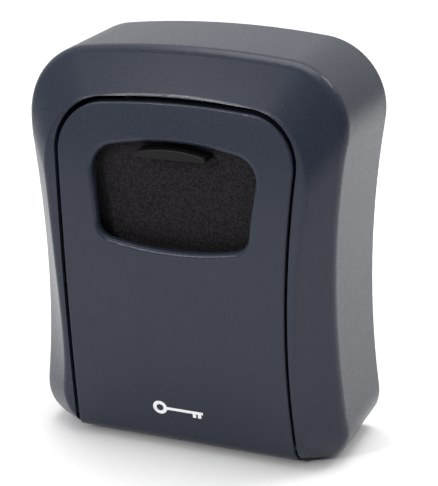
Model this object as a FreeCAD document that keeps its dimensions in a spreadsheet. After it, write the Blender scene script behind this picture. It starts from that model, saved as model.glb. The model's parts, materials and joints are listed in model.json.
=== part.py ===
import FreeCAD, Part
import math
import os
import Sketcher

# Wall key lock box: a drop-down door carries a sliding dial cover and a four-wheel combination latch.
# Frame: millimetres, +Z up, the door faces -Y, and the wall face is the plane Y = 0.
# The origin is the centre of the four wall-fixing holes on that face.
# A "depth" is a distance from the wall face toward the front, so it is -Y.

V = FreeCAD.Vector
XZ, YZ = "XZ_Plane", "YZ_Plane"

DIMS = {
    # case outline seen from the front: hollow sides, bowed top, straight foot
    "case_half": "45.3",
    "case_waist_z": "-4.2",
    "case_side_arc": "290",
    "case_top_z": "60",
    "case_top_arc": "267",
    "case_corner": "20",
    "case_foot_z": "-60",
    "case_foot_corner": "11.6",
    # case section
    "front_depth": "43.2",
    "front_arc": "240",
    "crown_z": "2.7",
    "draft_inset": "1.4",        # how far the walls and the top close in over the full depth
    "wall_thick": "2.6",
    "floor_thick": "3.4",
    "cavity_depth": "31",
    "cavity_foot_corner": "12",
    # shoulder: a slope through two arches, one near the wall face and one in front of the box
    "slope_back_depth": "24",
    "slope_back_half": "51.6",
    "slope_back_top_z": "73.2",
    "slope_back_corner": "20",
    "slope_back_waist_z": "-3",
    "slope_back_side_arc": "220",
    "slope_back_foot_z": "-60",
    "slope_back_foot_corner": "14",
    "slope_front_depth": "46",
    "slope_front_half": "34.8",
    "slope_front_top_z": "35",
    "slope_front_corner": "17",
    "slope_front_waist_z": "18",
    "slope_front_side_arc": "-300",
    "slope_front_foot_z": "-56",
    "slope_front_foot_corner": "14",
    "slope_top_arc": "250",
    "crest_round": "2",           # where the shoulder meets the front
    "brow_round": "4",            # where the shoulder meets the side walls
    # door outline, along the middle of the gap round it
    "door_half": "33.41",
    "door_waist_z": "-16.8",
    "door_side_arc": "593",
    "door_top_z": "45.95",
    "door_top_arc": "224",
    "door_corner": "14.6",
    "door_gap": "0.9",
    "door_top_gap": "0.6",        # what the gap has more than that along the top
    "door_skin": "2.2",
    "door_round": "0.6",
    "window_round": "1.3",
    "door_flange": "2",
    "flange_depth": "30.2",
    # hinge: the heel of the door is round about the pin and runs smoothly into the bowed front
    "hinge_z": "-54.2",
    "heel_radius": "4",
    "hinge_depth": "=sqrt((front_arc - heel_radius)^2 - (hinge_z - crown_z)^2) - front_arc + front_depth",
    "heel_meet_z": "=crown_z - (crown_z - hinge_z) * front_arc / (front_arc - heel_radius)",
    "pin_radius": "1.5",
    "pin_half": "38.6",
    "boss_start": "35.2",
    "boss_length": "4.4",
    "running_gap": "0.05",
    "heel_room_depth": "27.5",
    # window in the door
    "window_half": "22.1",
    "window_waist_z": "-2",
    "window_side_arc": "170",
    "window_top_z": "34.1",
    "window_top_arc": "90",
    "window_corner": "7",
    "window_foot_z": "3.9",
    "window_foot_corner": "5",
    "window_foot_arc": "95",
    # sliding dial cover
    "cover_half": "26",
    "cover_foot_z": "1",
    "cover_height": "35.5",
    "cover_depth": "37.2",
    "cover_thick": "1.6",
    "cover_travel": "24",
    "slide_gap": "0.35",
    "rail_width": "2.5",
    "rail_lip": "1.3",
    "stop_height": "3",
    "lip_half": "10.6",
    "lip_top_z": "32.9",
    "lip_top_arc": "42",
    "lip_corner": "0.7",
    "lip_edge": "0.3",
    "lip_foot_z": "30.1",
    "lip_depth": "43.4",
    # face plate and lock case
    "plate_depth": "34.4",
    "plate_thick": "1.6",
    "plate_inset": "3.2",
    "plate_foot_z": "-35",
    "case_room_half": "23.4",
    "case_room_foot_z": "7.6",
    "case_room_height": "26.9",
    "case_room_depth": "17.8",
    "plastic_wall": "1.5",
    "rear_cover_thick": "1.4",
    "part_gap": "0.4",
    # number wheels and code cams
    "dial_radius": "8.2",
    "dial_width": "5.6",
    "dial_pitch": "9",
    "dial_notch": "1.1",
    "notch_rise": "0.6",
    "dial_slot_half": "6.3",
    "dial_slot_width": "6.4",
    "axle_depth": "27",
    "axle_z": "18",
    "axle_radius": "2",
    "sleeve_radius": "4.6",
    "cam_radius": "5.4",
    "cam_thick": "1.6",
    "gate_width": "2.2",
    "gate_depth": "1.6",
    # latch and open button
    "latch_thick": "2",
    "bar_half": "22.9",
    "bar_foot_z": "30",
    "bar_height": "3.4",
    "leg_inner": "14",
    "leg_width": "6",
    "nose_top_z": "44.9",
    "press_travel": "3",
    "tooth_width": "1.2",
    "tooth_foot_z": "26.8",
    "button_half": "9",
    "button_foot_z": "28.4",
    "button_height": "5",
    "button_depth": "35.2",
    "stem_half": "6",
    "stem_inset": "0.2",
    "groove_inset": "1.5",
    "groove_width": "0.6",
    "groove_depth": "0.4",
    "rivet_x": "3.5",
    "rivet_radius": "0.9",
    "rivet_head": "1.6",
    "rivet_head_height": "0.8",
    "rivet_reach": "4.5",
    # springs
    "latch_spring_x": "21.3",
    "latch_spring_radius": "1.3",
    "latch_spring_foot_z": "23",
    "latch_spring_pitch": "1.4",
    "reset_spring_radius": "2.75",
    "reset_spring_pitch": "0.9",
    "spring_wire": "0.45",
    "spring_seat": "1.8",
    "spring_seat_gap": "0.05",
    "seat_thick": "1.1",
    # reset lever and the clips on its axle
    "reset_travel": "1.5",
    "lever_x": "-21.2",
    "lever_thick": "1.4",
    "lever_half_height": "3.5",
    "lever_tab_half": "1.6",
    "lever_tab_reach": "1.8",
    "axle_end": "0.5",
    "clip_thick": "0.8",
    "clip_radius": "3.4",
    "clip_mouth": "1.4",
    # detent leaf
    "leaf_half": "20",
    "leaf_gap": "0.3",
    "leaf_front": "30.5",
    "leaf_thick": "0.4",
    "finger_half": "1.8",
    "finger_top_z": "17",
    # screws and the posts they go into
    "screw_radius": "1.1",
    "screw_head": "2.1",
    "screw_head_height": "1.3",
    "screw_end_gap": "0.2",
    "recess_half": "1.2",
    "recess_slot": "0.3",
    "recess_depth": "0.7",
    "post_radius": "2.4",
    "upper_screw_x": "9.5",
    "upper_screw_z": "39.4",
    "lower_screw_x": "22",
    "lower_screw_z": "-31.2",
    "case_screw_reach": "3.4",
    "cover_post_radius": "2.3",
    "cover_post_sunk": "0.3",
    "cover_screw_inset": "2.2",
    "cover_screw_reach": "6",
    # wall fixing
    "fix_half_x": "25",
    "fix_half_z": "35",
    "fix_radius": "2.5",
}

doc = FreeCAD.newDocument("key_lock_box")
sheet = doc.addObject("Spreadsheet::Sheet", "dims")
for row, (alias, content) in enumerate(DIMS.items(), 1):
    sheet.set("A%d" % row, alias)
    sheet.setAlias("B%d" % row, alias)
    sheet.set("B%d" % row, content)
doc.recompute()


class Size(float):
    """A length that remembers the sheet expression it comes from."""

    def __new__(cls, value, text):
        size = super().__new__(cls, value)
        size.text = text
        return size

    def __add__(self, other):
        return Size(float(self) + float(other), "(%s + %s)" % (self.text, text_of(other)))

    def __radd__(self, other):
        return Size(float(other) + float(self), "(%s + %s)" % (text_of(other), self.text))

    def __sub__(self, other):
        return Size(float(self) - float(other), "(%s - %s)" % (self.text, text_of(other)))

    def __rsub__(self, other):
        return Size(float(other) - float(self), "(%s - %s)" % (text_of(other), self.text))

    def __mul__(self, other):
        return Size(float(self) * float(other), "(%s * %s)" % (self.text, text_of(other)))

    def __rmul__(self, other):
        return self * other

    def __truediv__(self, other):
        return Size(float(self) / float(other), "(%s / %s)" % (self.text, text_of(other)))

    def __neg__(self):
        return Size(-float(self), "(0 - %s)" % self.text)


class Dims:
    """Each driving dimension by its alias."""

    def __getattr__(self, alias):
        return Size(sheet.get(alias), "dims." + alias)


def text_of(value):
    return value.text if isinstance(value, Size) else "(%.6g)" % value


def bind(thing, prop, value):
    """Sets a property: from the sheet when the value comes from there, else as a plain number."""
    if isinstance(value, Size):
        thing.setExpression(prop, value.text)
    elif "." in prop:
        thing.setExpression(prop, "%.6g" % value)
    else:
        setattr(thing, prop, value)


d = Dims()
half_gap = d.door_gap / 2
plate_back = d.plate_depth - d.plate_thick
WHEELS = 4
dial_xs = [(k - (WHEELS - 1) / 2) * d.dial_pitch for k in range(WHEELS)]
sides = (-1, 1)


# Solids from primitives, each given by where it starts and ends along X, in depth and along Z.
def box(name, x, depth, z):
    """A block between two X values, two depths and two Z values."""
    solid = doc.addObject("Part::Box", name)
    bind(solid, "Length", x[1] - x[0])
    bind(solid, "Width", depth[1] - depth[0])
    bind(solid, "Height", z[1] - z[0])
    move(solid, x[0], -depth[1], z[0])
    return solid


def rod(name, radius, start, length, axis):
    """A cylinder from the point start (x, depth, z) along +X, +Z or toward the front."""
    solid = doc.addObject("Part::Cylinder", name)
    bind(solid, "Radius", radius)
    bind(solid, "Height", length)
    turns = {
        "x": FreeCAD.Rotation(V(0, 1, 0), 90),
        "z": FreeCAD.Rotation(),
        "front": FreeCAD.Rotation(V(1, 0, 0), 90),
    }
    solid.Placement = FreeCAD.Placement(V(), turns[axis])
    move(solid, start[0], -start[1], start[2])
    return solid


def move(thing, x, y, z):
    for axis, value in zip("xyz", (x, y, z)):
        bind(thing, "Placement.Base." + axis, value)


def fuse(name, shapes):
    result = doc.addObject("Part::MultiFuse", name)
    result.Shapes = shapes
    return result


def common(name, shapes):
    result = doc.addObject("Part::MultiCommon", name)
    result.Shapes = shapes
    return result


def cut(name, base, tools):
    result = doc.addObject("Part::Cut", name)
    result.Base = base
    result.Tool = tools[0] if len(tools) == 1 else fuse(name + "_tools", tools)
    return result


# Bodies and sketches.
def new_body(name):
    return doc.addObject("PartDesign::Body", name)


def new_sketch(body, plane, name, offset=0.0):
    """A sketch on one of its body's own origin planes, moved along the plane's normal.

    The normal of XZ points to the front, so there the offset is a depth.
    """
    sketch = body.newObject("Sketcher::SketchObject", name)
    sketch.AttachmentSupport = [([f for f in body.Origin.OriginFeatures if f.Role == plane][0], "")]
    sketch.MapMode = "FlatFace"
    bind(sketch, "AttachmentOffset.Base.z", offset)
    return sketch


def pad(body, sketch, length):
    feature = body.newObject("PartDesign::Pad", sketch.Name + "_pad")
    feature.Profile = sketch
    bind(feature, "Length", length)
    body.Tip = feature
    return feature


def ruled_loft(body, sections):
    feature = body.newObject("PartDesign::AdditiveLoft", body.Name + "_loft")
    feature.Profile = sections[0]
    feature.Sections = sections[1:]
    feature.Ruled = True
    body.Tip = feature
    return feature


def constrain(sketch, kind, where, value, label):
    """Adds a dimensional constraint and drives it from the sheet."""
    sketch.addConstraint(Sketcher.Constraint(kind, *where, float(value)))
    sketch.renameConstraint(sketch.ConstraintCount - 1, label)
    if isinstance(value, Size):
        sketch.setExpression("Constraints." + label, value.text)


def circles_meet(c0, r0, c1, r1, upper):
    """The upper or the lower point where two circles meet."""
    span = c1 - c0
    gap = span.Length
    along = (r0 * r0 - r1 * r1 + gap * gap) / (2 * gap)
    side = math.sqrt(r0 * r0 - along * along)
    unit = span * (1 / gap)
    mid = c0 + unit * along
    across = V(-unit.y, unit.x) * side
    return max(mid + across, mid - across, key=lambda p: p.y if upper else -p.y)


def add_arc(sketch, centre, radius, start, end):
    """An arc from start to end, counter-clockwise round the centre."""
    first = math.atan2(start.y - centre.y, start.x - centre.x)
    last = math.atan2(end.y - centre.y, end.x - centre.x)
    if last < first:
        last += 2 * math.pi
    return sketch.addGeometry(Part.ArcOfCircle(Part.Circle(centre, V(0, 0, 1), float(radius)), first, last))


def toward(a, b, distance):
    return a + (b - a) * (float(distance) / (b - a).Length)


def mirrored(p):
    return V(-p.x, p.y)


def arch(sketch, half, waist_z, side_arc, top_z, top_arc, corner, foot_z, foot_corner=None, foot_arc=None):
    """An outline with a bowed top and sides that are hollow, or bulge where side_arc is negative.

    The foot is straight with square corners, straight with round corners, or bowed with round corners.
    """
    hollow = side_arc > 0
    outward = 1 if hollow else -1
    side_radius = side_arc if hollow else -side_arc
    side_c = V(half + side_arc, waist_z)
    top_c = V(0, top_z - top_arc)
    corner_c = circles_meet(side_c, abs(side_arc + corner), top_c, top_arc - corner, True)
    on_top = toward(top_c, corner_c, top_arc)
    on_side = toward(side_c, corner_c, side_radius)
    if foot_corner is None:
        low = V(side_c.x - outward * math.sqrt(side_arc ** 2 - (foot_z - waist_z) ** 2), foot_z)
        foot_end = low
    elif foot_arc is None:
        rise = foot_z + foot_corner - waist_z
        run = math.sqrt((side_arc + foot_corner) ** 2 - rise ** 2)
        foot_c = V(side_c.x - outward * run, foot_z + foot_corner)
        low = toward(side_c, foot_c, side_radius)
        foot_end = V(foot_c.x, foot_z)
    else:
        bow_c = V(0, foot_z + foot_arc)
        foot_c = circles_meet(side_c, abs(side_arc + foot_corner), bow_c, foot_arc - foot_corner, False)
        low = toward(side_c, foot_c, side_radius)
        foot_end = toward(bow_c, foot_c, foot_arc)

    top = add_arc(sketch, top_c, top_arc, on_top, mirrored(on_top))
    corner_l = add_arc(sketch, mirrored(corner_c), corner, mirrored(on_top), mirrored(on_side))
    corner_r = add_arc(sketch, corner_c, corner, on_side, on_top)
    if hollow:
        side_l = add_arc(sketch, mirrored(side_c), side_radius, mirrored(low), mirrored(on_side))
        side_r = add_arc(sketch, side_c, side_radius, on_side, low)
        l_low, l_high, r_high, r_low = 1, 2, 1, 2
    else:
        side_l = add_arc(sketch, mirrored(side_c), side_radius, mirrored(on_side), mirrored(low))
        side_r = add_arc(sketch, side_c, side_radius, low, on_side)
        l_low, l_high, r_high, r_low = 2, 1, 2, 1
    if foot_arc is None:
        foot = sketch.addGeometry(Part.LineSegment(mirrored(foot_end), foot_end))
    else:
        foot = add_arc(sketch, bow_c, foot_arc, mirrored(foot_end), foot_end)
    rule = Sketcher.Constraint
    sketch.addConstraint([
        rule("Tangent", top, 2, corner_l, 1),
        rule("Tangent", corner_l, 2, side_l, l_high),
        rule("Tangent", side_r, r_high, corner_r, 1),
        rule("Tangent", corner_r, 2, top, 1),
        rule("Equal", corner_l, corner_r),
        rule("Equal", side_l, side_r),
        rule("PointOnObject", top, 3, -2),
        rule("Symmetric", side_l, 3, side_r, 3, -2),
    ])
    if foot_corner is None:
        sketch.addConstraint([
            rule("Coincident", side_l, l_low, foot, 1),
            rule("Coincident", foot, 2, side_r, r_low),
            rule("Horizontal", foot),
        ])
    else:
        foot_l = add_arc(sketch, mirrored(foot_c), foot_corner, mirrored(low), mirrored(foot_end))
        foot_r = add_arc(sketch, foot_c, foot_corner, foot_end, low)
        sketch.addConstraint([
            rule("Tangent", side_l, l_low, foot_l, 1),
            rule("Tangent", foot_l, 2, foot, 1),
            rule("Tangent", foot, 2, foot_r, 1),
            rule("Tangent", foot_r, 2, side_r, r_low),
            rule("Equal", foot_l, foot_r),
        ])
        constrain(sketch, "Radius", (foot_l,), foot_corner, "foot_corner")
    if foot_arc is None:
        constrain(sketch, "DistanceY", (-1, 1, foot, 1), foot_z, "foot_height")
    else:
        sketch.addConstraint(rule("PointOnObject", foot, 3, -2))
        constrain(sketch, "Radius", (foot,), foot_arc, "foot_arc")
        constrain(sketch, "DistanceY", (-1, 1, foot, 3), foot_z + foot_arc, "foot_centre")
    constrain(sketch, "Radius", (top,), top_arc, "top_arc")
    constrain(sketch, "Radius", (corner_l,), corner, "corner_radius")
    constrain(sketch, "Radius", (side_l,), side_radius, "side_arc")
    constrain(sketch, "DistanceY", (-1, 1, side_r, 3), waist_z, "waist_height")
    constrain(sketch, "DistanceX", (-1, 1, side_r, 3), half + side_arc, "side_centre")
    constrain(sketch, "DistanceY", (-1, 1, top, 3), top_z - top_arc, "top_centre")
    return sketch


def case_arch(sketch, inset, foot_rise, foot_corner):
    """The case outline with its sides and top moved inward, its foot raised and its own foot corners."""
    return arch(sketch, d.case_half - inset, d.case_waist_z, d.case_side_arc + inset, d.case_top_z - inset,
                d.case_top_arc - inset, d.case_corner - inset, d.case_foot_z + foot_rise, foot_corner)


def door_arch(sketch, inset, foot_z, top_drop=0.0):
    """The door outline, moved inward from the middle of the gap, with its top a little lower still."""
    return arch(sketch, d.door_half - inset, d.door_waist_z, d.door_side_arc + inset,
                d.door_top_z - inset - top_drop, d.door_top_arc - inset, d.door_corner - inset, foot_z)


def circle(sketch, x, y, radius, label):
    ring = sketch.addGeometry(Part.Circle(V(x, y), V(0, 0, 1), float(radius)))
    constrain(sketch, "Radius", (ring,), radius, label + "_radius")
    constrain(sketch, "DistanceX", (-1, 1, ring, 3), x, label + "_x")
    constrain(sketch, "DistanceY", (-1, 1, ring, 3), y, label + "_y")


def front_form(name, inset=0.0):
    """The cylinder whose skin is the bowed front."""
    reach = 2 * d.case_half + 20
    return rod(name, d.front_arc - inset, (-reach / 2, d.front_depth - d.front_arc, d.crown_z), reach, "x")


def edge_points(edge):
    span = edge.LastParameter - edge.FirstParameter
    return [edge.valueAt(edge.FirstParameter + span * part) for part in (0.1, 0.5, 0.9)]


def on_front(shape, edge):
    """Whether the edge lies in the bowed front."""
    centre_y = d.front_arc - d.front_depth
    points = edge_points(edge)
    reaches = [math.hypot(p.y - centre_y, p.z - d.crown_z) for p in points]
    return all(abs(reach - d.front_arc) < NEAR for reach in reaches)


BROW_ANGLE = 10.0      # degrees between two faces that make a real corner


def is_brow(shape, edge):
    """Whether the edge is a real corner between the shoulder and a wall."""
    p = edge_points(edge)[1]
    faces = shape.ancestorsOfType(edge, Part.Face)
    normals = [face.normalAt(*face.Surface.parameter(p)) for face in faces]
    clear = -p.y > d.slope_back_depth and p.z > d.case_foot_z + NEAR
    return clear and math.degrees(normals[0].getAngle(normals[1])) > BROW_ANGLE and not on_front(shape, edge)


def rounded(name, base, rules):
    """Rounds each edge of base that a rule picks, with the radius of the first rule that picks it."""
    doc.recompute()
    edges = []
    for number, edge in enumerate(base.Shape.Edges, 1):
        for picks, radius in rules:
            if picks(base.Shape, edge):
                edges.append((number, float(radius), float(radius)))
                break
    result = doc.addObject("Part::Fillet", name)
    result.Base = base
    result.Edges = edges
    return result


# ---------------------------------------------------- case
PAST = 1.0             # how far a cutter runs past what it cuts
SUNK = 0.1             # how far a piece sinks into the one it is fused to
WELL_PAST = 90.0       # beyond the whole box, for shapes that are cut off by something else
BEYOND = (-WELL_PAST, WELL_PAST)
NEAR = 0.01            # two places this close are the same place

case_body = new_body("case_block")
draft_per_depth = d.draft_inset / d.front_depth
case_sections = []
for depth in (0.0, d.front_depth + PAST):
    section = new_sketch(case_body, XZ, "case_section", depth)
    inset = draft_per_depth * depth
    case_sections.append(case_arch(section, inset, 0.0, d.case_foot_corner - inset))
ruled_loft(case_body, case_sections)

slope_body = new_body("slope_form")
slope_sections = []
for end in ("back", "front"):
    section = new_sketch(slope_body, XZ, "slope_" + end, getattr(d, "slope_%s_depth" % end))
    sizes = {}
    for size in ("half", "waist_z", "side_arc", "top_z", "corner", "foot_z", "foot_corner"):
        sizes[size] = getattr(d, "slope_%s_%s" % (end, size))
    arch(section, top_arc=d.slope_top_arc, **sizes)
    slope_sections.append(section)
ruled_loft(slope_body, slope_sections)
slope_root = box("slope_root", BEYOND, (-PAST, d.slope_back_depth), BEYOND)
slope_solid = fuse("slope_solid", [slope_body, slope_root])

outer_sharp = common("outer_sharp", [case_body, slope_solid, front_form("case_front_form")])
outer = rounded("case_outer", outer_sharp, [(on_front, d.crest_round), (is_brow, d.brow_round)])

cavity_body = new_body("case_cavity")
cavity_sections = []
for depth in (d.wall_thick, d.cavity_depth):
    section = new_sketch(cavity_body, XZ, "cavity_section", depth)
    cavity_sections.append(case_arch(section, d.wall_thick + draft_per_depth * depth, d.floor_thick,
                                     d.cavity_foot_corner))
ruled_loft(cavity_body, cavity_sections)

opening_body = new_body("door_opening")
opening_outline = new_sketch(opening_body, XZ, "opening_outline", d.heel_room_depth)
pad(opening_body, door_arch(opening_outline, -half_gap, -WELL_PAST), d.front_depth)

hollow_case = cut("hollow_case", outer, [cavity_body, opening_body])
bosses = []
for side in sides:
    start = d.boss_start if side > 0 else -(d.boss_start + d.boss_length)
    bosses.append(rod("hinge_boss", d.heel_radius, (start, d.hinge_depth, d.hinge_z), d.boss_length, "x"))
inner_bosses = common("inner_bosses", [fuse("hinge_bosses", bosses), outer])
bossed_case = fuse("bossed_case", [hollow_case, inner_bosses])

fixings = []
for x in (-d.fix_half_x, d.fix_half_x):
    for z in (-d.fix_half_z, d.fix_half_z):
        fixings.append(rod("fixing_hole", d.fix_radius, (x, -PAST, z), d.wall_thick + 2 * PAST, "front"))
pin_seat = rod("pin_seat", d.pin_radius, (-d.pin_half, d.hinge_depth, d.hinge_z), 2 * d.pin_half, "x")
body_shell = cut("body_shell", bossed_case, fixings + [pin_seat])

hinge_pin = rod("hinge_pin", d.pin_radius, (-d.pin_half, d.hinge_depth, d.hinge_z), 2 * d.pin_half, "x")

# ---------------------------------------------------- door
door_blank = new_body("door_blank")
door_outline = new_sketch(door_blank, XZ, "door_outline", d.flange_depth)
pad(door_blank, door_arch(door_outline, half_gap, d.heel_meet_z, d.door_top_gap), d.front_depth)
door_bowed = common("door_bowed", [door_blank, front_form("door_front_form")])

heel_room = new_body("heel_form")
heel_outline = new_sketch(heel_room, XZ, "heel_outline", d.heel_room_depth)
pad(heel_room, door_arch(heel_outline, half_gap, -WELL_PAST), d.front_depth)
heel_rod = rod("heel_rod", d.heel_radius, (-WELL_PAST, d.hinge_depth, d.hinge_z), 2 * WELL_PAST, "x")
heel = common("heel", [heel_room, heel_rod])

hollow_foot_z = d.hinge_z + d.heel_radius
door_room = new_body("door_room")
room_outline = new_sketch(door_room, XZ, "door_room_outline", d.flange_depth - PAST)
room_inset = half_gap + d.door_flange
pad(door_room, door_arch(room_outline, room_inset, hollow_foot_z, d.door_top_gap), d.front_depth)
door_hollow = common("door_hollow", [door_room, front_form("door_back_form", d.door_skin)])

window = new_body("window_form")
window_outline = new_sketch(window, XZ, "window_outline", d.cover_depth)
arch(window_outline, d.window_half, d.window_waist_z, d.window_side_arc, d.window_top_z, d.window_top_arc,
     d.window_corner, d.window_foot_z, d.window_foot_corner, d.window_foot_arc)
pad(window, window_outline, d.front_depth - d.cover_depth + PAST)

case_screw_places = [(d.upper_screw_x, d.upper_screw_z), (d.lower_screw_x, d.lower_screw_z)]
case_screw_spots = [(side * x, z) for x, z in case_screw_places for side in sides]
posts = [rod("door_post", d.post_radius, (x, d.plate_depth, z), d.front_depth - d.plate_depth, "front")
         for x, z in case_screw_spots]
door_posts = common("door_posts", [fuse("door_post_set", posts), front_form("post_form", d.door_skin / 2)])
bore_reach = d.case_screw_reach + PAST
screw_bores = [rod("post_bore", d.screw_radius, (x, d.plate_depth - PAST, z), bore_reach, "front")
               for x, z in case_screw_spots]
bore_start = (-WELL_PAST, d.hinge_depth, d.hinge_z)
pin_bore = rod("pin_bore", d.pin_radius + d.running_gap, bore_start, 2 * WELL_PAST, "x")
door_sharp = cut("door_sharp", fuse("door_solid", [door_bowed, heel]), [door_hollow, window])


WINDOW_MARGIN = 4.0    # edges this near to the window are its own


def on_window(shape, edge):
    p = edge_points(edge)[1]
    beside = abs(p.x) < d.window_half + WINDOW_MARGIN
    level = d.window_foot_z - WINDOW_MARGIN < p.z < d.window_top_z + WINDOW_MARGIN
    return on_front(shape, edge) and beside and level


def on_door_rim(shape, edge):
    return on_front(shape, edge) and not on_window(shape, edge)


door_hollowed = rounded("door_hollowed", door_sharp, [
    (on_window, d.window_round),
    (on_door_rim, d.door_round),
])
door_with_posts = fuse("door_with_posts", [door_hollowed, door_posts])
door_shell = cut("door_shell", door_with_posts, screw_bores + [pin_bore])

# ---------------------------------------------------- sliding dial cover and its guide
cover_back = d.cover_depth - d.cover_thick
cover_top_z = d.cover_foot_z + d.cover_height
cover_plate = box("cover_plate", (-d.cover_half, d.cover_half), (cover_back, d.cover_depth),
                  (d.cover_foot_z, cover_top_z))
lip_back = cover_back + d.cover_thick / 2
lip_bar = box("lip_bar", (-d.lip_half, d.lip_half), (lip_back, d.lip_depth), (d.lip_foot_z, d.lip_top_z))
bow_start = (0.0, lip_back, d.lip_top_z - d.lip_top_arc)
lip_bow = rod("lip_bow", d.lip_top_arc, bow_start, d.lip_depth - lip_back, "front")


def runs_forward(shape, edge):
    return abs(edge.tangentAt(edge.FirstParameter).y) > 0.99


def on_lip_face(shape, edge):
    return all(abs(-p.y - d.lip_depth) < NEAR for p in edge_points(edge))


cover_lip = rounded("cover_lip", common("lip_sharp", [lip_bar, lip_bow]), [
    (runs_forward, d.lip_corner),
    (on_lip_face, d.lip_edge),
])
dial_cover = fuse("dial_cover", [cover_plate, cover_lip])

rail_inner = d.cover_half + d.slide_gap
rail_outer = rail_inner + d.rail_width
stop_top_z = d.cover_foot_z - d.cover_travel - d.slide_gap
stop_foot_z = stop_top_z - d.stop_height
rail_heights = (stop_foot_z, cover_top_z + d.slide_gap)
rail_depths = (d.plate_depth, d.cover_depth + d.rail_lip)
lip_depths = (d.cover_depth + d.slide_gap, d.cover_depth + d.rail_lip)
rails = []
for side in sides:
    wide = sorted((side * rail_inner, side * rail_outer), key=float)
    lipped = sorted((side * (d.cover_half - d.rail_lip), side * rail_outer), key=float)
    rails.append(box("rail_side", wide, rail_depths, rail_heights))
    rails.append(box("rail_lip", lipped, lip_depths, rail_heights))
stop_depths = (d.plate_depth, d.cover_depth)
stop_bar = box("stop_bar", (-rail_outer, rail_outer), stop_depths, (stop_foot_z, stop_top_z))
cover_guide = fuse("cover_guide", rails + [stop_bar])

# ---------------------------------------------------- lock case: face plate, tub, screw posts
plate_body = new_body("face_plate")
plate_outline = new_sketch(plate_body, XZ, "plate_outline", plate_back)
pad(plate_body, door_arch(plate_outline, half_gap + d.plate_inset, d.plate_foot_z), d.plate_thick)
room_top_z = d.case_room_foot_z + d.case_room_height
tub_half = d.case_room_half + d.plastic_wall
tub_foot_z = d.case_room_foot_z - d.plastic_wall
tub_top_z = room_top_z + d.plastic_wall
tub = box("tub", (-tub_half, tub_half), (d.case_room_depth, plate_back + SUNK), (tub_foot_z, tub_top_z))
tub_room = box("tub_room", (-d.case_room_half, d.case_room_half), (d.case_room_depth - PAST, plate_back),
               (d.case_room_foot_z, room_top_z))
cover_screw_x = tub_half + d.cover_post_radius - d.cover_post_sunk
cover_screw_zs = (d.case_room_foot_z + d.cover_screw_inset, room_top_z - d.cover_screw_inset)
cover_screw_spots = [(side * cover_screw_x, z) for side in sides for z in cover_screw_zs]
cover_posts = [rod("cover_post", d.cover_post_radius, (x, d.case_room_depth, z),
                   plate_back - d.case_room_depth + SUNK, "front") for x, z in cover_screw_spots]
seats = []
for side in sides:
    span = sorted((side * (d.latch_spring_x - d.spring_seat), side * (d.case_room_half + SUNK)), key=float)
    seats.append(box("spring_seat", span, (d.axle_depth - d.spring_seat, d.axle_depth + d.spring_seat),
                     (d.latch_spring_foot_z - d.seat_thick, d.latch_spring_foot_z)))
tub_walls = cut("tub_walls", tub, [tub_room])
lock_case_blank = fuse("lock_case_blank", [plate_body, tub_walls] + cover_posts + seats)

openings = []
through_plate = (plate_back - PAST, d.plate_depth + PAST)
for x in dial_xs:
    openings.append(box("dial_slot", (x - d.dial_slot_width / 2, x + d.dial_slot_width / 2),
                        through_plate, (d.axle_z - d.dial_slot_half, d.axle_z + d.dial_slot_half)))
button_top_z = d.button_foot_z + d.button_height
openings.append(box("button_slot", (-d.button_half - d.part_gap, d.button_half + d.part_gap), through_plate,
                    (d.button_foot_z - d.press_travel - d.part_gap, button_top_z + d.part_gap)))
leg_outer = d.leg_inner + d.leg_width
latch_front = d.axle_depth + d.latch_thick / 2
latch_back = d.axle_depth - d.latch_thick / 2
for side in sides:
    span = sorted((side * (d.leg_inner - d.part_gap), side * (leg_outer + d.part_gap)), key=float)
    openings.append(box("leg_slot", span, (latch_back - d.part_gap, latch_front + d.part_gap),
                        (room_top_z - PAST, tub_top_z + PAST)))
openings.append(rod("axle_hole", d.axle_radius + d.running_gap, (-tub_half - PAST, d.axle_depth, d.axle_z),
                    2 * (tub_half + PAST), "x"))
for x, z in case_screw_spots:
    openings.append(rod("plate_hole", d.screw_radius, (x, plate_back - PAST, z), d.plate_thick + 2 * PAST,
                        "front"))
for x, z in cover_screw_spots:
    openings.append(rod("cover_bore", d.screw_radius, (x, d.case_room_depth - PAST, z),
                        d.cover_screw_reach + PAST, "front"))
lock_case = cut("lock_case", lock_case_blank, openings)

# ---------------------------------------------------- rear cover
rear_face = d.case_room_depth - d.rear_cover_thick
plate_depths = (rear_face, d.case_room_depth)
rear_plate = box("rear_plate", (-tub_half, tub_half), plate_depths, (tub_foot_z, tub_top_z))
ears = [rod("cover_ear", d.cover_post_radius, (x, rear_face, z), d.rear_cover_thick, "front")
        for x, z in cover_screw_spots]
lever_slot_half = d.lever_tab_half + d.part_gap
lever_slot_end = d.lever_x + d.lever_thick + d.reset_travel + d.part_gap
slot_depths = (rear_face - PAST, d.case_room_depth + PAST)
slot_rise = (d.axle_z - lever_slot_half, d.axle_z + lever_slot_half)
lever_slot = box("lever_slot", (d.lever_x - d.part_gap, lever_slot_end), slot_depths, slot_rise)
hole_length = d.rear_cover_thick + 2 * PAST
cover_holes = [rod("cover_hole", d.screw_radius, (x, rear_face - PAST, z), hole_length, "front")
               for x, z in cover_screw_spots]
rear_cover = cut("rear_cover", fuse("rear_cover_blank", [rear_plate] + ears), [lever_slot] + cover_holes)


def screw_group(name, spots, seat_depth, reach):
    """Cross-recessed screws driven toward the front, with their heads on the given depth."""
    back = seat_depth - d.screw_head_height
    recess_depths = (back - PAST, back + d.recess_depth)
    screws = []
    for x, z in spots:
        head = rod("screw_head", d.screw_head, (x, back, z), d.screw_head_height, "front")
        shank = rod("screw_shank", d.screw_radius, (x, seat_depth - SUNK, z), reach + SUNK, "front")
        recess = []
        for across, up in ((d.recess_half, d.recess_slot), (d.recess_slot, d.recess_half)):
            recess.append(box("recess", (x - across, x + across), recess_depths, (z - up, z + up)))
        screws.append(cut("screw", fuse("screw_blank", [head, shank]), recess))
    return fuse(name, screws)


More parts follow.
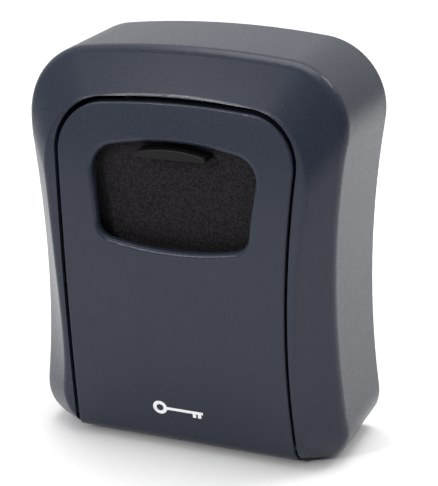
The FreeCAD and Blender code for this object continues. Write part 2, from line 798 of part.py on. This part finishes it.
case_screws = screw_group("case_screws", case_screw_spots, plate_back,
                          d.plate_thick + d.case_screw_reach - d.screw_end_gap)
rear_cover_screws = screw_group("rear_cover_screws", cover_screw_spots, rear_face,
                                d.rear_cover_thick + d.cover_screw_reach - d.screw_end_gap)

# ---------------------------------------------------- detent spring: one leaf with a finger per wheel
leaf_back = d.case_room_depth + d.leaf_gap
leaf = [box("leaf_base", (-d.leaf_half, d.leaf_half), (leaf_back, d.leaf_front),
            (d.case_room_foot_z, d.case_room_foot_z + d.leaf_thick))]
for x in dial_xs:
    leaf.append(box("leaf_finger", (x - d.finger_half, x + d.finger_half),
                    (leaf_back, leaf_back + d.leaf_thick), (d.case_room_foot_z, d.finger_top_z)))
detent_spring = fuse("detent_spring", leaf)

# ---------------------------------------------------- number wheels and their code cams
DIGITS = 10


def number_wheel(name, x):
    """A wheel with a shallow notch between each two digits, bored for the sleeve of its cam."""
    wheel = new_body(name)
    rim = new_sketch(wheel, YZ, name + "_rim", -d.dial_width / 2)
    circle(rim, 0.0, 0.0, d.dial_radius, "rim")
    circle(rim, 0.0, 0.0, d.sleeve_radius, "bore")
    pad(wheel, rim, d.dial_width)
    notch_sketch = new_sketch(wheel, YZ, name + "_notch", -d.dial_width / 2)
    turn = math.pi / DIGITS
    notch_at = d.dial_radius + d.notch_rise
    circle(notch_sketch, -notch_at * math.cos(turn), notch_at * math.sin(turn), d.dial_notch, "notch")
    notch = wheel.newObject("PartDesign::Pocket", name + "_pocket")
    notch.Profile = notch_sketch
    notch.Reversed = True
    bind(notch, "Length", d.dial_width)
    ring = wheel.newObject("PartDesign::PolarPattern", name + "_notches")
    ring.Originals = [notch]
    ring.Axis = (rim, ["N_Axis"])
    ring.Angle = 360
    ring.Occurrences = DIGITS
    wheel.Tip = ring
    move(wheel, x, -d.axle_depth, d.axle_z)
    return wheel


def code_cam(name, x):
    """A disc with a gate in its rim, on a sleeve that fills the wheel."""
    left = x - d.dial_width / 2
    right = left + d.dial_width
    sleeve = rod("sleeve", d.sleeve_radius, (left, d.axle_depth, d.axle_z), d.dial_width, "x")
    disc = rod("disc", d.cam_radius, (right, d.axle_depth, d.axle_z), d.cam_thick, "x")
    bore = rod("cam_bore", d.axle_radius + d.running_gap, (left - PAST, d.axle_depth, d.axle_z),
               d.dial_width + d.cam_thick + 2 * PAST, "x")
    gate = box("gate", (right, right + d.cam_thick + PAST),
               (d.axle_depth - d.gate_width / 2, d.axle_depth + d.gate_width / 2),
               (d.axle_z + d.cam_radius - d.gate_depth, d.axle_z + d.cam_radius + PAST))
    return cut(name, fuse(name + "_blank", [sleeve, disc]), [bore, gate])


wheels = [number_wheel("dial_%d" % (k + 1), x) for k, x in enumerate(dial_xs)]
cams = [code_cam("code_cam_%d" % (k + 1), x) for k, x in enumerate(dial_xs)]

# ---------------------------------------------------- latch plate, open button and their rivets
GRIP_GROOVES = 3
bar_top_z = d.bar_foot_z + d.bar_height
latch_bar = box("latch_bar", (-d.bar_half, d.bar_half), (latch_back, latch_front), (d.bar_foot_z, bar_top_z))
latch_parts = [latch_bar]
for side in sides:
    span = sorted((side * d.leg_inner, side * leg_outer), key=float)
    latch_parts.append(box("latch_leg", span, (latch_back, latch_front), (bar_top_z - SUNK, d.nose_top_z)))
for x in dial_xs:
    middle = x + (d.dial_width + d.cam_thick) / 2
    latch_parts.append(box("fence_tooth", (middle - d.tooth_width / 2, middle + d.tooth_width / 2),
                           (latch_back, latch_front), (d.tooth_foot_z, d.bar_foot_z + SUNK)))
rivet_xs = [side * d.rivet_x for side in sides]
rivet_z = d.bar_foot_z + d.bar_height / 2
rivet_holes = [rod("rivet_hole", d.rivet_radius, (x, latch_back - PAST, rivet_z), d.latch_thick + 2 * PAST,
                   "front") for x in rivet_xs]
latch_plate = cut("latch_plate", fuse("latch_blank", latch_parts), rivet_holes)

rivets = []
for x in rivet_xs:
    head_back = latch_back - d.rivet_head_height
    head = rod("rivet_head", d.rivet_head, (x, head_back, rivet_z), d.rivet_head_height, "front")
    shank_start = (x, latch_back - SUNK, rivet_z)
    shank = rod("rivet_shank", d.rivet_radius, shank_start, d.rivet_reach + SUNK, "front")
    rivets.append(fuse("rivet", [head, shank]))
latch_rivets = fuse("latch_rivets", rivets)

button_head = box("button_head", (-d.button_half, d.button_half), (plate_back + SUNK, d.button_depth),
                  (d.button_foot_z, button_top_z))
button_stem = box("button_stem", (-d.stem_half, d.stem_half), (latch_front, plate_back + 2 * SUNK),
                  (d.bar_foot_z + d.stem_inset, bar_top_z - d.stem_inset))
groove_half = d.button_half - d.groove_inset
groove_pitch = d.button_height / (GRIP_GROOVES + 1)
grip_grooves = []
for k in range(GRIP_GROOVES):
    middle = d.button_foot_z + (k + 1) * groove_pitch
    grip_grooves.append(box("grip_groove", (-groove_half, groove_half),
                            (d.button_depth - d.groove_depth, d.button_depth + PAST),
                            (middle - d.groove_width / 2, middle + d.groove_width / 2)))
stem_bores = [rod("stem_bore", d.rivet_radius, (x, latch_front - PAST, rivet_z),
                  PAST + d.rivet_reach - d.latch_thick, "front") for x in rivet_xs]
button_blank = fuse("button_blank", [button_head, button_stem])
open_button = cut("open_button", button_blank, grip_grooves + stem_bores)


# ---------------------------------------------------- coil springs
def coil(name, radius, wire, height, pitch):
    """A coil standing on the origin, along +Z, between two wire radii of its ends."""
    body = new_body(name)
    section = new_sketch(body, XZ, name + "_wire")
    circle(section, radius, wire, wire, "wire")
    helix = body.newObject("PartDesign::AdditiveHelix", name + "_helix")
    helix.Profile = section
    helix.ReferenceAxis = (section, ["V_Axis"])
    helix.Mode = "pitch-height-angle"
    bind(helix, "Pitch", pitch)
    bind(helix, "Height", height - 2 * wire)
    body.Tip = helix
    return body


latch_coils = []
for side in sides:
    spring = coil("latch_coil", d.latch_spring_radius, d.spring_wire / 2,
                  d.bar_foot_z - d.latch_spring_foot_z, d.latch_spring_pitch)
    move(spring, side * d.latch_spring_x, -d.axle_depth, d.latch_spring_foot_z)
    latch_coils.append(spring)
latch_springs = fuse("latch_springs", latch_coils)

# ---------------------------------------------------- axle, its clips, the reset lever and its spring
last_cam_x = dial_xs[-1] + d.dial_width / 2 + d.cam_thick
right_clip_x = last_cam_x + d.part_gap
left_clip_x = dial_xs[0] - d.dial_width / 2 - d.reset_travel - d.part_gap - d.clip_thick
axle_start = (-tub_half - d.axle_end, d.axle_depth, d.axle_z)
dial_axle = rod("dial_axle", d.axle_radius, axle_start, 2 * tub_half, "x")
clips = []
for x in (left_clip_x, right_clip_x):
    clip_span = (x - PAST, x + d.clip_thick + PAST)
    ring = rod("clip_ring", d.clip_radius, (x, d.axle_depth, d.axle_z), d.clip_thick, "x")
    hole_start = (clip_span[0], d.axle_depth, d.axle_z)
    hole = rod("clip_hole", d.axle_radius, hole_start, d.clip_thick + 2 * PAST, "x")
    mouth = box("clip_mouth", clip_span, (d.axle_depth - d.clip_mouth, d.axle_depth + d.clip_mouth),
                (d.axle_z - d.clip_radius - PAST, d.axle_z))
    clips.append(cut("clip", ring, [hole, mouth]))
axle_clips = fuse("axle_clips", clips)

lever_back = d.case_room_depth + d.part_gap
lever_span = (d.lever_x, d.lever_x + d.lever_thick)
lever_plate = box("lever_plate", lever_span, (lever_back, d.axle_depth + d.lever_half_height),
                  (d.axle_z - d.lever_half_height, d.axle_z + d.lever_half_height))
lever_tab = box("lever_tab", lever_span, (rear_face - d.lever_tab_reach, lever_back + SUNK),
                (d.axle_z - d.lever_tab_half, d.axle_z + d.lever_tab_half))
lever_hole = rod("lever_hole", d.axle_radius, (d.lever_x - PAST, d.axle_depth, d.axle_z),
                 d.lever_thick + 2 * PAST, "x")
reset_lever = cut("reset_lever", fuse("lever_blank", [lever_plate, lever_tab]), [lever_hole])

reset_spring_start = right_clip_x + d.clip_thick + d.spring_seat_gap
reset_spring_length = d.case_room_half - d.spring_seat_gap - reset_spring_start
reset_spring = coil("reset_spring", d.reset_spring_radius, d.spring_wire / 2, reset_spring_length,
                    d.reset_spring_pitch)
reset_spring.Placement = FreeCAD.Placement(V(), FreeCAD.Rotation(V(0, 1, 0), 90))
move(reset_spring, reset_spring_start, -d.axle_depth, d.axle_z)

# ---------------------------------------------------- check and write the nodes
nodes = [
    body_shell, hinge_pin, door_shell, dial_cover, cover_guide, lock_case, case_screws, rear_cover,
    rear_cover_screws, detent_spring, latch_plate, open_button, latch_rivets, latch_springs, dial_axle,
    axle_clips, reset_lever, reset_spring,
] + wheels + cams
for node in nodes:
    node.Label = node.Name

doc.recompute()
for item in doc.Objects:
    bad = [state for state in item.State if state in ("Invalid", "Error")]
    if bad:
        raise RuntimeError("%s: %s" % (item.Name, bad))
os.makedirs("parts", exist_ok=True)
for node in nodes:
    shape = node.Shape
    if shape.isNull() or not shape.isValid() or not shape.Solids:
        raise RuntimeError(node.Name + " is not a sound solid")
    shape.exportStep("parts/%s.step" % node.Label)
    print("%-18s solids %2d volume %9.1f" % (node.Label, len(shape.Solids), shape.Volume))
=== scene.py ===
import json
import math

import bmesh
import bpy
from mathutils import Matrix, Vector


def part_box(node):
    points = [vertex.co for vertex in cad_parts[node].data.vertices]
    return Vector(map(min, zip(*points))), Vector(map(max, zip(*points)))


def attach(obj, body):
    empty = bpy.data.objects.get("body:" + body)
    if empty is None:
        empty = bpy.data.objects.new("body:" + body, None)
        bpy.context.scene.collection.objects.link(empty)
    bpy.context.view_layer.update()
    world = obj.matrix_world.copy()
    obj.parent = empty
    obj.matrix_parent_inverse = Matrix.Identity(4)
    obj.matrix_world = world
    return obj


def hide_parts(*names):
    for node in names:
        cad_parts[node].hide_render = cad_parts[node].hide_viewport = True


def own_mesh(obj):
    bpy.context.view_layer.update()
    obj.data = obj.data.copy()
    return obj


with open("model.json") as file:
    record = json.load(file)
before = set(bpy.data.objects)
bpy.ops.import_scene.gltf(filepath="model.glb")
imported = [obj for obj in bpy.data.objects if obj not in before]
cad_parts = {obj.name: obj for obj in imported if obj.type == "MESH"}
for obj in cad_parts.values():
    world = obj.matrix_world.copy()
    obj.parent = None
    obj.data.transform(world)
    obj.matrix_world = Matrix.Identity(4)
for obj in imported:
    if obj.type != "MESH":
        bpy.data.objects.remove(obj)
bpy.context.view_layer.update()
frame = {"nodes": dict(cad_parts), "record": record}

# A wall key lock box with a drop-down door, looked at from the right of its front and a little above.
# Everything is in metres in the row frame: +Z up, the door faces -Y, the wall face is Y = 0.

MM = 0.001

# the door's bowed front and the sliding cover's plate, as depths in front of the wall face
FRONT_DEPTH, FRONT_ARC, CROWN_Z = 43.2 * MM, 240 * MM, 2.7 * MM
COVER_DEPTH = 37.2 * MM

# the number wheels, side by side on one axle
DIALS, DIGITS = 4, 10
DIAL_RADIUS, DIAL_PITCH, AXLE_DEPTH, AXLE_Z = 8.2 * MM, 9 * MM, 27 * MM, 18 * MM

# prints
DIGIT_SIZE = 3.7 * MM
INK = 0.04 * MM            # how far a numeral stands out of its wheel, and sinks into it
STRIP = 0.3 * MM           # prints are cut into strips no higher than this so that they can bend

# the key sign: its ends across the door and its height, then its bow, shaft and bits
KEY_LEFT, KEY_RIGHT, KEY_Z = -8.7 * MM, 6.9 * MM, -46.2 * MM
BOW_RADIUS, BOW_HOLE, SHAFT_HALF = 2.2 * MM, 1.1 * MM, 0.45 * MM
BIT_WIDTH, BIT_DROP = 1.0 * MM, 1.3 * MM
# from the tip back to the left edge of the inner bit and the right edge of the outer one
INNER_BIT_BACK, OUTER_BIT_BACK = 3.2 * MM, 0.6 * MM
KEY_PROUD = 0.12 * MM
RING_STEPS = 40            # straight steps round the bow, and round its hole

# coil springs; a travel is how far the joint shortens its coils
SPRING_WIRE = 0.2 * MM     # radius of the wire
TURN_STEPS = 20            # straight steps in one turn
LATCH_SPRING_X = 21.3 * MM
LATCH_COIL_RADIUS, LATCH_COIL_PITCH, LATCH_TRAVEL = 1.3 * MM, 1.4 * MM, 3 * MM
RESET_COIL_RADIUS, RESET_COIL_PITCH, RESET_TRAVEL = 2.75 * MM, 0.9 * MM, 1.5 * MM


# ---------------------------------------------------------------- materials
def linear(red, green, blue):
    """A colour on the usual 0 to 255 screen scale, as the linear values that shaders take."""
    parts = []
    for value in (red, green, blue):
        part = value / 255
        parts.append(part / 12.92 if part <= 0.04045 else ((part + 0.055) / 1.055) ** 2.4)
    return (*parts, 1.0)


def shade(colour, factor):
    """The colour made darker or lighter by a factor."""
    return (*(value * factor for value in colour[:3]), 1.0)


class Surface:
    """A material built from nodes round one Principled shader."""

    def __init__(self, name):
        self.material = bpy.data.materials.new(name)
        self.material.use_nodes = True
        self.tree = self.material.node_tree
        self.shader = self.tree.nodes["Principled BSDF"]
        self.place = self.node("ShaderNodeTexCoord").outputs["Object"]

    def node(self, kind, **inputs):
        """A new node, with some of its inputs set by name."""
        made = self.tree.nodes.new(kind)
        for socket, value in inputs.items():
            made.inputs[socket.replace("_", " ")].default_value = value
        return made

    def link(self, source, target):
        self.tree.links.new(source, target)

    def feed(self, value, target):
        """Gives an input a value, or a link when the value is another node's output."""
        if isinstance(value, bpy.types.NodeSocket):
            self.link(value, target)
        else:
            target.default_value = value

    def noise(self, size, detail=2.0, roughness=0.5):
        """Noise whose features are about this many metres across."""
        made = self.node("ShaderNodeTexNoise", Scale=1 / size, Detail=detail, Roughness=roughness)
        self.link(self.place, made.inputs["Vector"])
        return made.outputs["Fac"]

    def ahead_of(self, depth, reach):
        """0 behind this depth and 1 once it is reach in front of it."""
        parts = self.node("ShaderNodeSeparateXYZ")
        self.link(self.place, parts.inputs["Vector"])
        return self.spread(parts.outputs["Y"], 0, 1, start=-depth, end=-depth - reach)

    def spread(self, source, low, high, start=0.3, end=0.7):
        """The source, from start to end, turned into values from low to high."""
        made = self.node("ShaderNodeMapRange")
        for socket, value in (("From Min", start), ("From Max", end), ("To Min", low), ("To Max", high)):
            made.inputs[socket].default_value = value
        self.link(source, made.inputs["Value"])
        return made.outputs["Result"]

    def mix(self, factor, first, second):
        """A colour between two, each a colour or a socket."""
        made = self.node("ShaderNodeMix")
        made.data_type = "RGBA"
        self.link(factor, made.inputs["Factor"])
        for name, value in (("A", first), ("B", second)):
            target = [i for i in made.inputs if i.name == name and i.type == "RGBA"][0]
            self.feed(value, target)
        return [o for o in made.outputs if o.type == "RGBA"][0]

    def colour(self, source):
        self.link(source, self.shader.inputs["Base Color"])

    def rough(self, source):
        self.link(source, self.shader.inputs["Roughness"])

    def bump(self, *layers):
        """Bumps stacked on each other, each a height, a strength or its socket, and a depth in metres."""
        normal = None
        for height, strength, depth in layers:
            made = self.node("ShaderNodeBump", Distance=depth)
            self.feed(strength, made.inputs["Strength"])
            self.link(height, made.inputs["Height"])
            if normal is not None:
                self.link(normal, made.inputs["Normal"])
            normal = made.outputs["Normal"]
        self.link(normal, self.shader.inputs["Normal"])


def powder_coat(name, colour, roughness):
    """Satin powder coat: fine orange peel with a finer grain in it, and faint cloudiness."""
    s = Surface(name)
    cloud = s.noise(size=18 * MM, detail=3)
    grain = s.noise(size=0.4 * MM, detail=2)
    peel = s.noise(size=1.3 * MM, detail=2)
    base = s.mix(s.spread(cloud, 0, 1), shade(colour, 0.94), shade(colour, 1.06))
    s.colour(s.mix(s.spread(grain, 0, 0.45), base, shade(colour, 1.6)))
    s.rough(s.spread(grain, roughness - 0.05, roughness + 0.07))
    s.shader.inputs["Specular IOR Level"].default_value = 0.25
    s.bump((peel, 0.5, 0.05 * MM), (grain, 0.6, 0.04 * MM))
    return s.material


def spark_grain(name, colour, roughness, size, depth):
    """Moulded plastic with the pitted grain of a spark-eroded mould."""
    s = Surface(name)
    pits = s.noise(size, detail=3, roughness=0.65)
    s.colour(s.mix(s.spread(pits, 0, 1), shade(colour, 0.6), shade(colour, 1.6)))
    s.rough(s.spread(pits, roughness + 0.1, roughness - 0.05))
    s.bump((pits, 0.9, depth))
    return s.material


def cover_plastic(name, colour, smooth_colour, roughness, smooth_from):
    """A coarse spark grain on the sliding plate, and a smooth satin lip from smooth_from forward."""
    s = Surface(name)
    grain = s.noise(size=0.55 * MM, detail=3, roughness=0.75)
    speck = s.noise(size=0.3 * MM, detail=1)
    fine = s.noise(size=0.3 * MM, detail=1)
    smooth = s.ahead_of(smooth_from, reach=0.2 * MM)
    grainy = s.spread(smooth, 1, 0, start=0, end=1)
    grain_colour_factor = s.spread(grain, 0, 1, start=0.4, end=0.6)
    plate = s.mix(grain_colour_factor, shade(colour, 0.1), shade(colour, 2.4))
    speck_factor = s.spread(speck, 0, 0.8, start=0.58, end=0.7)
    plate = s.mix(speck_factor, plate, shade(colour, 5.0))
    lip = s.mix(s.spread(fine, 0, 1), shade(smooth_colour, 0.92), shade(smooth_colour, 1.08))
    s.colour(s.mix(smooth, plate, lip))
    s.rough(s.spread(smooth, roughness, 0.35, start=0, end=1))
    s.shader.inputs["Specular IOR Level"].default_value = 0.15
    s.bump((grain, grainy, 0.2 * MM), (fine, 0.12, 0.01 * MM))
    return s.material


def smooth_plastic(name, colour, roughness):
    """Moulded plastic with a light sheen and faint flow marks."""
    s = Surface(name)
    flow = s.noise(size=6 * MM, detail=2)
    fine = s.noise(size=0.25 * MM, detail=2)
    s.colour(s.mix(s.spread(flow, 0, 1), shade(colour, 0.9), shade(colour, 1.1)))
    s.rough(s.spread(fine, roughness - 0.04, roughness + 0.05))
    s.bump((fine, 0.15, 0.01 * MM))
    return s.material


def plated_metal(name, colour, roughness):
    """Plated or bare metal with faint stains and a fine grain."""
    s = Surface(name)
    s.shader.inputs["Metallic"].default_value = 1.0
    stain = s.noise(size=3 * MM, detail=3)
    grain = s.noise(size=0.2 * MM, detail=3)
    s.colour(s.mix(s.spread(stain, 0, 1), shade(colour, 0.8), colour))
    s.rough(s.spread(grain, roughness - 0.06, roughness + 0.08))
    s.bump((grain, 0.25, 0.01 * MM))
    return s.material


def printed_white(name):
    """Printing ink, a little uneven."""
    s = Surface(name)
    patch = s.noise(size=0.4 * MM, detail=2)
    s.colour(s.mix(s.spread(patch, 0, 1), linear(226, 228, 230), linear(246, 247, 248)))
    s.rough(s.spread(patch, 0.45, 0.6))
    s.bump((patch, 0.1, 0.01 * MM))
    return s.material


paint_colour = linear(36, 41, 53)
plate_black, lip_black = linear(20, 18, 20), linear(15, 15, 16)
LIP_FROM = COVER_DEPTH + 0.1 * MM
PIT_SIZE, PIT_DEPTH = 0.3 * MM, 0.03 * MM
materials = {
    "case_paint": powder_coat("case_paint", paint_colour, 0.28),
    "door_paint": powder_coat("door_paint", shade(paint_colour, 0.96), 0.3),
    "cover_black": cover_plastic("cover_black", plate_black, lip_black, 0.7, LIP_FROM),
    "black_plastic": spark_grain("black_plastic", linear(30, 30, 32), 0.5, PIT_SIZE, PIT_DEPTH),
    "grey_plastic": spark_grain("grey_plastic", linear(52, 52, 55), 0.5, PIT_SIZE, PIT_DEPTH),
    "button_black": smooth_plastic("button_black", linear(28, 28, 30), 0.35),
    "dial_plastic": smooth_plastic("dial_plastic", linear(26, 26, 28), 0.32),
    "brass": plated_metal("brass", (0.62, 0.44, 0.16, 1.0), 0.3),
    "steel": plated_metal("steel", (0.62, 0.62, 0.63, 1.0), 0.28),
    "zinc_steel": plated_metal("zinc_steel", (0.5, 0.51, 0.52, 1.0), 0.34),
    "spring_steel": plated_metal("spring_steel", (0.4, 0.4, 0.41, 1.0), 0.3),
    "print_white": printed_white("print_white"),
}
slot_of = {part["node"]: part["material_slot"] for part in frame["record"]["subparts"]}


def paint(obj, slot):
    """Gives an object one material."""
    obj.data.materials.clear()
    obj.data.materials.append(materials[slot])


for node_name, node in frame["nodes"].items():
    paint(node, slot_of[node_name])


# ---------------------------------------------------------------- objects and meshes
def add_object(name, data):
    """A new object in the scene that holds this data."""
    obj = bpy.data.objects.new(name, data)
    bpy.context.scene.collection.objects.link(obj)
    return obj


def add_line(curve, places, closed):
    """A line of straight steps through these places, added to a curve."""
    spline = curve.splines.new("POLY")
    spline.points.add(len(places) - 1)
    for point, place in zip(spline.points, places):
        point.co = (*place, 1)
    spline.use_cyclic_u = closed


def mesh_of(curve):
    """The mesh of a curve or text data-block, which is then dropped."""
    holder = add_object("holder", curve)
    bpy.context.view_layer.update()
    mesh = bpy.data.meshes.new_from_object(holder.evaluated_get(bpy.context.evaluated_depsgraph_get()))
    bpy.data.objects.remove(holder)
    bpy.data.curves.remove(curve)
    return mesh


# ---------------------------------------------------------------- prints: wheel numerals and key sign
def cut_into_strips(part):
    """Cuts a flat mesh across at even heights, so that it can bend."""
    heights = [v.co.y for v in part.verts]
    foot, height = min(heights), max(heights) - min(heights)
    strips = max(1, math.ceil(height / STRIP))
    for k in range(1, strips):
        geometry = part.verts[:] + part.edges[:] + part.faces[:]
        level = foot + height * k / strips
        bmesh.ops.bisect_plane(part, geom=geometry, plane_co=(0, level, 0), plane_no=(0, 1, 0))


def print_piece(name, flats, body):
    """One object out of flat meshes, each laid on a surface by its own function of (across, up, out)."""
    whole = bmesh.new()
    for flat, lay in flats:
        part = bmesh.new()
        part.from_mesh(flat)
        cut_into_strips(part)
        for v in part.verts:
            v.co = lay(*v.co)
        bmesh.ops.recalc_face_normals(part, faces=part.faces)
        part.to_mesh(flat)
        part.free()
        whole.from_mesh(flat)
        bpy.data.meshes.remove(flat)
    mesh = bpy.data.meshes.new(name)
    whole.to_mesh(mesh)
    whole.free()
    mesh.materials.append(materials["print_white"])
    obj = add_object(name, mesh)
    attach(obj, body)


def digit(text):
    """One numeral, centred, as a flat mesh with a little thickness."""
    curve = bpy.data.curves.new("digit", "FONT")
    curve.body = text
    curve.size = DIGIT_SIZE
    curve.align_x = "CENTER"
    curve.align_y = "CENTER"
    curve.extrude = INK
    return mesh_of(curve)


def round_wheel(middle_x, turn):
    """Lays a print round a number wheel, turned up from the front."""
    def lay(across, up, out):
        angle = turn + up / DIAL_RADIUS
        reach = DIAL_RADIUS + out
        depth = AXLE_DEPTH + reach * math.cos(angle)
        return Vector((middle_x + across, -depth, AXLE_Z + reach * math.sin(angle)))
    return lay


for wheel in range(1, DIALS + 1):
    middle_x = (wheel - (DIALS + 1) / 2) * DIAL_PITCH
    flats = [(digit(str(k)), round_wheel(middle_x, math.tau * k / DIGITS)) for k in range(DIGITS)]
    print_piece("numerals_%d" % wheel, flats, "wheel_%d" % wheel)


def key_sign():
    """A plain key: a round bow with a hole, a shaft and two bits."""
    bow_x = KEY_LEFT + BOW_RADIUS
    open_angle = math.asin(SHAFT_HALF / BOW_RADIUS)
    outline = []
    for k in range(RING_STEPS + 1):
        angle = open_angle + (math.tau - 2 * open_angle) * k / RING_STEPS
        outline.append((bow_x + BOW_RADIUS * math.cos(angle), BOW_RADIUS * math.sin(angle), 0))
    shaft_low, bit_low = -SHAFT_HALF, -SHAFT_HALF - BIT_DROP
    for left in (KEY_RIGHT - INNER_BIT_BACK, KEY_RIGHT - OUTER_BIT_BACK - BIT_WIDTH):
        right = left + BIT_WIDTH
        outline += [(left, shaft_low, 0), (left, bit_low, 0), (right, bit_low, 0), (right, shaft_low, 0)]
    outline += [(KEY_RIGHT, shaft_low, 0), (KEY_RIGHT, SHAFT_HALF, 0)]
    hole = []
    for k in range(RING_STEPS):
        angle = math.tau * k / RING_STEPS
        hole.append((bow_x + BOW_HOLE * math.cos(angle), BOW_HOLE * math.sin(angle), 0))
    curve = bpy.data.curves.new("key", "CURVE")
    curve.dimensions = "2D"
    curve.fill_mode = "BOTH"
    curve.extrude = KEY_PROUD
    for ring in (outline, hole):
        add_line(curve, ring, closed=True)
    return mesh_of(curve)


def on_door(across, up, out):
    """Lays a print on the bowed front of the door."""
    z = KEY_Z + up
    depth = FRONT_DEPTH - FRONT_ARC + math.sqrt(FRONT_ARC ** 2 - (z - CROWN_Z) ** 2)
    return Vector((across, -depth - out, z))


print_piece("key_sign", [(key_sign(), on_door)], "door")


# ---------------------------------------------------------------- coil springs that shorten
def coil_points(foot, axis, length, radius, pitch):
    """Points along a coil that stands on its fixed end and runs along axis."""
    side = axis.orthogonal().normalized()
    other = axis.cross(side)
    rise = length - 2 * SPRING_WIRE
    count = round(TURN_STEPS * rise / pitch)
    points = []
    for k in range(count + 1):
        angle = math.tau * k / TURN_STEPS
        along = SPRING_WIRE + rise * k / count
        points.append(foot + axis * along + (side * math.cos(angle) + other * math.sin(angle)) * radius)
    return points


def spring_piece(node_name, feet, axis, length, radius, pitch):
    """Coils that stand in for a CAD spring, hung on the door, with the CAD spring hidden."""
    curve = bpy.data.curves.new(node_name, "CURVE")
    curve.dimensions = "3D"
    curve.bevel_depth = SPRING_WIRE
    curve.bevel_resolution = 2
    curve.use_fill_caps = True
    for foot in feet:
        add_line(curve, coil_points(foot, axis, length, radius, pitch), closed=False)
    spring = add_object(node_name + "_coils", mesh_of(curve))
    slot = slot_of[node_name]
    paint(spring, slot)
    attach(spring, "door")
    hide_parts(node_name)
    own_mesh(spring)


latch_low, latch_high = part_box("latch_springs")
latch_feet = [Vector((x, -AXLE_DEPTH, latch_low.z)) for x in (-LATCH_SPRING_X, LATCH_SPRING_X)]
spring_piece("latch_springs", latch_feet, Vector((0, 0, 1)), latch_high.z - latch_low.z,
             LATCH_COIL_RADIUS, LATCH_COIL_PITCH)
reset_low, reset_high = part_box("reset_spring")
reset_foot = Vector((reset_high.x, -AXLE_DEPTH, AXLE_Z))
spring_piece("reset_spring", [reset_foot], Vector((-1, 0, 0)), reset_high.x - reset_low.x,
             RESET_COIL_RADIUS, RESET_COIL_PITCH)

# ---------------------------------------------------------------- stage, light and camera
case_low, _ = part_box("body_shell")
floor_z = case_low.z
FLOOR_REACH = 3.0
FLOOR_CORNERS = ((-1, -1), (1, -1), (1, 1), (-1, 1))
floor_mesh = bpy.data.meshes.new("floor")
corners = [(FLOOR_REACH * x, FLOOR_REACH * y, floor_z) for x, y in FLOOR_CORNERS]
floor_mesh.from_pydata(corners, [], [(0, 1, 2, 3)])
floor = add_object("floor", floor_mesh)
floor_paint = Surface("floor_paint")
floor_paint.shader.inputs["Base Color"].default_value = (0.96, 0.96, 0.96, 1.0)
floor_paint.shader.inputs["Roughness"].default_value = 0.8
floor_mesh.materials.append(floor_paint.material)

# the surroundings are a bright backdrop that comes forward overhead, and a dim room in front;
# their level grows as the cosine of a direction to BRIGHT_SIDE runs over RAMP, while a camera ray
# that misses everything sees SHOWN_LEVEL
FRONT_LEVEL, BACK_LEVEL, SHOWN_LEVEL = 0.05, 0.85, 1.05
BRIGHT_SIDE = Vector((-0.25, 0.45, 0.85)).normalized()
RAMP = (-0.3, 0.75)
world = bpy.context.scene.world or bpy.data.worlds.new("world")
bpy.context.scene.world = world
world.use_nodes = True
tree = world.node_tree
background = tree.nodes["Background"]
background.inputs["Color"].default_value = (1.0, 1.0, 1.0, 1.0)
direction = tree.nodes.new("ShaderNodeTexCoord").outputs["Generated"]
toward_back = tree.nodes.new("ShaderNodeVectorMath")
toward_back.operation = "DOT_PRODUCT"
toward_back.inputs[1].default_value = BRIGHT_SIDE
level = tree.nodes.new("ShaderNodeMapRange")
level.interpolation_type = "SMOOTHSTEP"
for socket, value in zip(("From Min", "From Max", "To Min", "To Max"), (*RAMP, FRONT_LEVEL, BACK_LEVEL)):
    level.inputs[socket].default_value = value
seen = tree.nodes.new("ShaderNodeMix")
seen.inputs["B"].default_value = SHOWN_LEVEL
tree.links.new(direction, toward_back.inputs[0])
tree.links.new(toward_back.outputs["Value"], level.inputs["Value"])
tree.links.new(tree.nodes.new("ShaderNodeLightPath").outputs["Is Camera Ray"], seen.inputs["Factor"])
tree.links.new(level.outputs["Result"], seen.inputs["A"])
tree.links.new(seen.outputs["Result"], background.inputs["Strength"])


def area_light(name, place, target, size, power):
    """A square light of this size in metres and power in watts, turned toward its target."""
    data = bpy.data.lights.new(name, "AREA")
    data.shape = "SQUARE"
    data.size = size
    data.energy = power
    light = add_object(name, data)
    light.location = place
    light.rotation_euler = (Vector(target) - Vector(place)).to_track_quat("-Z", "Y").to_euler()


CENTRE = (0, 0, 0)
UPPER_PART = (0, 0, 0.04)
area_light("top_light", place=(0.0, 0.1, 1.0), target=CENTRE, size=0.8, power=8.0)
area_light("corner_light", place=(0.5, 0.42, 0.7), target=UPPER_PART, size=0.2, power=1.8)
area_light("front_light", place=(-0.33, -0.75, 0.58), target=CENTRE, size=0.35, power=1.2)
area_light("ridge_light", place=(-0.35, -0.84, 0.41), target=CENTRE, size=0.1, power=3.0)

bpy.context.scene.view_settings.view_transform = "Standard"
AZIMUTH, ELEVATION, ROLL = math.radians(21.9), math.radians(18.83), math.radians(-0.47)
DISTANCE = 433.3 * MM
SENSOR_HEIGHT, LENS = 36.0, 111.19        # both in millimetres, as the camera takes them
target = Vector((5.03 * MM, -20 * MM, floor_z + 59.74 * MM))
camera_data = bpy.data.cameras.new("camera")
camera_data.sensor_fit = "VERTICAL"
camera_data.sensor_height = SENSOR_HEIGHT
camera_data.lens = LENS
camera = add_object("camera", camera_data)
back = Vector((math.sin(AZIMUTH) * math.cos(ELEVATION),
               -math.cos(AZIMUTH) * math.cos(ELEVATION),
               math.sin(ELEVATION)))
level_right = Vector((math.cos(AZIMUTH), math.sin(AZIMUTH), 0))
level_up = back.cross(level_right)
right = level_right * math.cos(ROLL) + level_up * math.sin(ROLL)
up = back.cross(right)
facing = Matrix((right, up, back)).transposed().to_4x4()
camera.matrix_world = Matrix.Translation(target + back * DISTANCE) @ facing
bpy.context.scene.camera = camera
